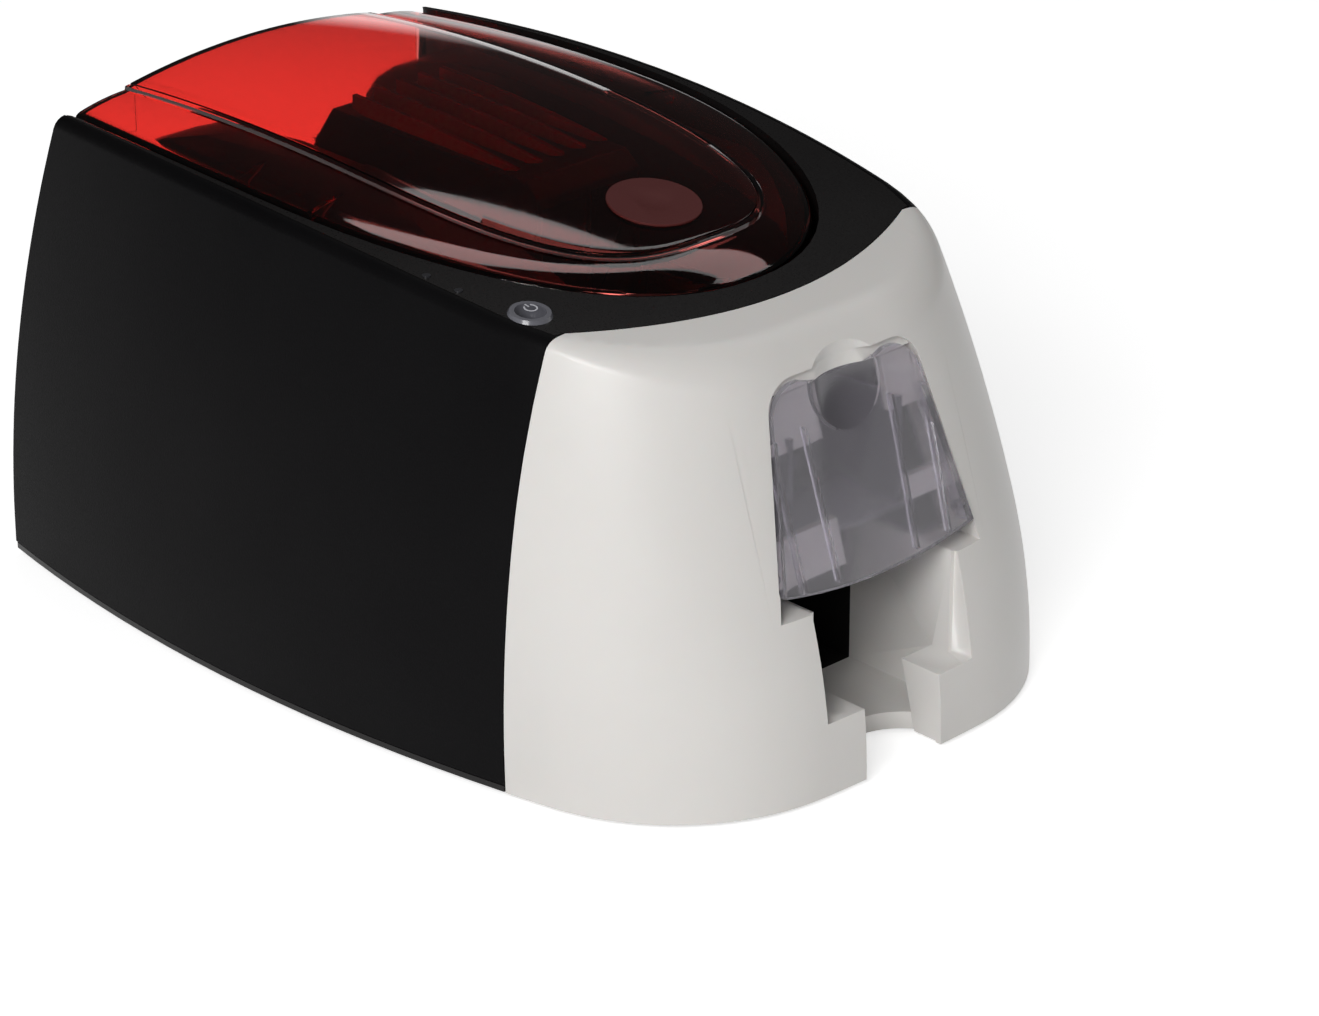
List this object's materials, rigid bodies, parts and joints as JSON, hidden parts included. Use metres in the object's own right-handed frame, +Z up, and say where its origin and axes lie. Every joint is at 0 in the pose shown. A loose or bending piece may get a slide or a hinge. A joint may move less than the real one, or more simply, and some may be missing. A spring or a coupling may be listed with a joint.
{
  "type": "id card printer",
  "caption": "Desktop printer for plastic identity cards with a hinged see-through lid over the ribbon and print head, a card feeder behind a smoked cover and an open card tray.",
  "frame": {"origin": "centre of the bounding box in plan, at the bottom of the rubber feet", "axes": "+X to the printer's left as seen from its front turned round, that is to the right for someone facing the front; +Y from the front to the rear; +Z up"},
  "size_m": [0.28, 0.3838, 0.2022],
  "materials": {
    "black_satin": "satin",
    "black_texture": "fine texture, matt",
    "white_shell": "satin",
    "lid_red": "see-through dark red plastic, glossy",
    "smoke_cover": "smoky see-through plastic, satin",
    "disc_matt": "matt",
    "black_inner": "satin",
    "rubber_black": "matt",
    "rubber_grey": "matt",
    "sheet_steel": "zinc coated",
    "bright_steel": "ground",
    "board_green": "lacquered",
    "gear_white": "satin",
    "brass": "turned",
    "button_grey": "silver paint",
    "lens_clear": "gloss",
    "ribbon_dark": "gloss",
    "film_dark": "gloss",
    "head_ceramic": "glazed",
    "alu": "anodised"
  },
  "bodies": {
    "frame": {"base_tray": "black_satin", "rubber_feet": "rubber_black", "left_side_panel": "black_texture", "right_side_panel": "black_texture", "rear_panel": "black_texture", "front_shell": "white_shell", "top_frame": "black_satin", "inner_deck": "black_inner", "left_shoulder": "black_inner", "right_shoulder": "black_inner", "tray_liner": "black_inner", "hopper_frame": "white_shell", "left_chassis_plate": "sheet_steel", "right_chassis_plate": "sheet_steel", "tie_bars": "bright_steel", "card_rails": "black_inner", "main_board": "board_green", "power_supply": "sheet_steel", "power_inlet": "black_inner", "usb_socket": "bright_steel", "drive_motor": "sheet_steel", "ribbon_motor": "sheet_steel", "frame_screws": "bright_steel", "hinge_pins": "bright_steel", "button_ring": "button_grey", "button_spring": "bright_steel", "indicator_lenses": "lens_clear", "ribbon_sensor": "black_inner", "ribbon_web": "film_dark"},
    "lid": {"lid": "lid_red", "thumb_disc": "disc_matt", "head_carrier": "black_inner", "heat_sink": "alu", "print_head": "head_ceramic", "carrier_screws": "bright_steel"},
    "feeder_cover": {"feeder_cover": "smoke_cover"},
    "power_button": {"power_button": "button_grey"},
    "supply": {"supply_spool": "gear_white", "supply_ribbon": "ribbon_dark", "supply_hubs": "black_inner"},
    "takeup": {"takeup_spool": "gear_white", "takeup_ribbon": "ribbon_dark", "takeup_hubs": "black_inner", "spool_gear": "gear_white"},
    "ribbon_pinion": {"ribbon_pinion": "brass"},
    "platen": {"platen_roller": "rubber_black", "platen_gear": "gear_white"},
    "rear_roll": {"rear_roller": "rubber_grey", "rear_gear": "gear_white"},
    "front_roll": {"front_roller": "rubber_grey", "front_gear": "gear_white"},
    "feed_roll": {"feed_roller": "rubber_grey", "feed_gear": "gear_white"},
    "rear_idler": {"rear_idler": "gear_white"},
    "middle_idler": {"middle_idler": "gear_white"},
    "front_idler": {"front_idler": "gear_white"},
    "motor_pinion": {"motor_pinion": "brass"}
  },
  "joints": [
    {"name": "lid_hinge", "type": "hinge", "parent": "frame", "child": "lid", "pos_m": [0, 0.183, 0.149], "axis": [-1, 0, 0], "range_deg": [0, 85]},
    {"name": "feeder_cover_hinge", "type": "hinge", "parent": "frame", "child": "feeder_cover", "pos_m": [0, -0.17035, 0.087], "axis": [1, 0, 0], "range_deg": [0, 70]},
    {"name": "power_button_press", "type": "slide", "parent": "frame", "child": "power_button", "axis": [0, 0.1266, -0.992], "range_m": [0, 0.0012], "stiffness_N_per_m": 250, "springref_m": -0.001},
    {"name": "platen_spin", "type": "hinge", "parent": "frame", "child": "platen", "pos_m": [0, 0.002, 0.082], "axis": [1, 0, 0], "continuous": true},
    {"name": "rear_roller_spin", "type": "hinge", "parent": "frame", "child": "rear_roll", "pos_m": [0, 0.062, 0.082], "axis": [1, 0, 0], "continuous": true},
    {"name": "front_roller_spin", "type": "hinge", "parent": "frame", "child": "front_roll", "pos_m": [0, -0.058, 0.082], "axis": [1, 0, 0], "continuous": true},
    {"name": "feed_roller_spin", "type": "hinge", "parent": "frame", "child": "feed_roll", "pos_m": [0, -0.118, 0.082], "axis": [1, 0, 0], "continuous": true},
    {"name": "rear_idler_spin", "type": "hinge", "parent": "frame", "child": "rear_idler", "pos_m": [0, 0.032, 0.082], "axis": [1, 0, 0], "continuous": true},
    {"name": "middle_idler_spin", "type": "hinge", "parent": "frame", "child": "middle_idler", "pos_m": [0, -0.028, 0.082], "axis": [1, 0, 0], "continuous": true},
    {"name": "front_idler_spin", "type": "hinge", "parent": "frame", "child": "front_idler", "pos_m": [0, -0.088, 0.082], "axis": [1, 0, 0], "continuous": true},
    {"name": "motor_pinion_spin", "type": "hinge", "parent": "frame", "child": "motor_pinion", "pos_m": [0, 0.032, 0.055], "axis": [1, 0, 0], "continuous": true},
    {"name": "supply_spool_spin", "type": "hinge", "parent": "frame", "child": "supply", "pos_m": [0, 0.07, 0.118], "axis": [1, 0, 0], "continuous": true},
    {"name": "takeup_spool_spin", "type": "hinge", "parent": "frame", "child": "takeup", "pos_m": [0, -0.052, 0.118], "axis": [1, 0, 0], "continuous": true},
    {"name": "ribbon_pinion_spin", "type": "hinge", "parent": "frame", "child": "ribbon_pinion", "pos_m": [0, -0.076, 0.118], "axis": [1, 0, 0], "continuous": true}
  ],
  "couplings": [
    {"joint": "rear_roller_spin", "follows": "platen_spin", "ratio": 1},
    {"joint": "front_roller_spin", "follows": "platen_spin", "ratio": 1},
    {"joint": "feed_roller_spin", "follows": "platen_spin", "ratio": 1},
    {"joint": "rear_idler_spin", "follows": "platen_spin", "ratio": -0.66667},
    {"joint": "middle_idler_spin", "follows": "platen_spin", "ratio": -0.66667},
    {"joint": "front_idler_spin", "follows": "platen_spin", "ratio": -0.66667},
    {"joint": "motor_pinion_spin", "follows": "platen_spin", "ratio": 1.3333},
    {"joint": "takeup_spool_spin", "follows": "supply_spool_spin", "ratio": 1.4783},
    {"joint": "ribbon_pinion_spin", "follows": "supply_spool_spin", "ratio": -2.4638}
  ]
}
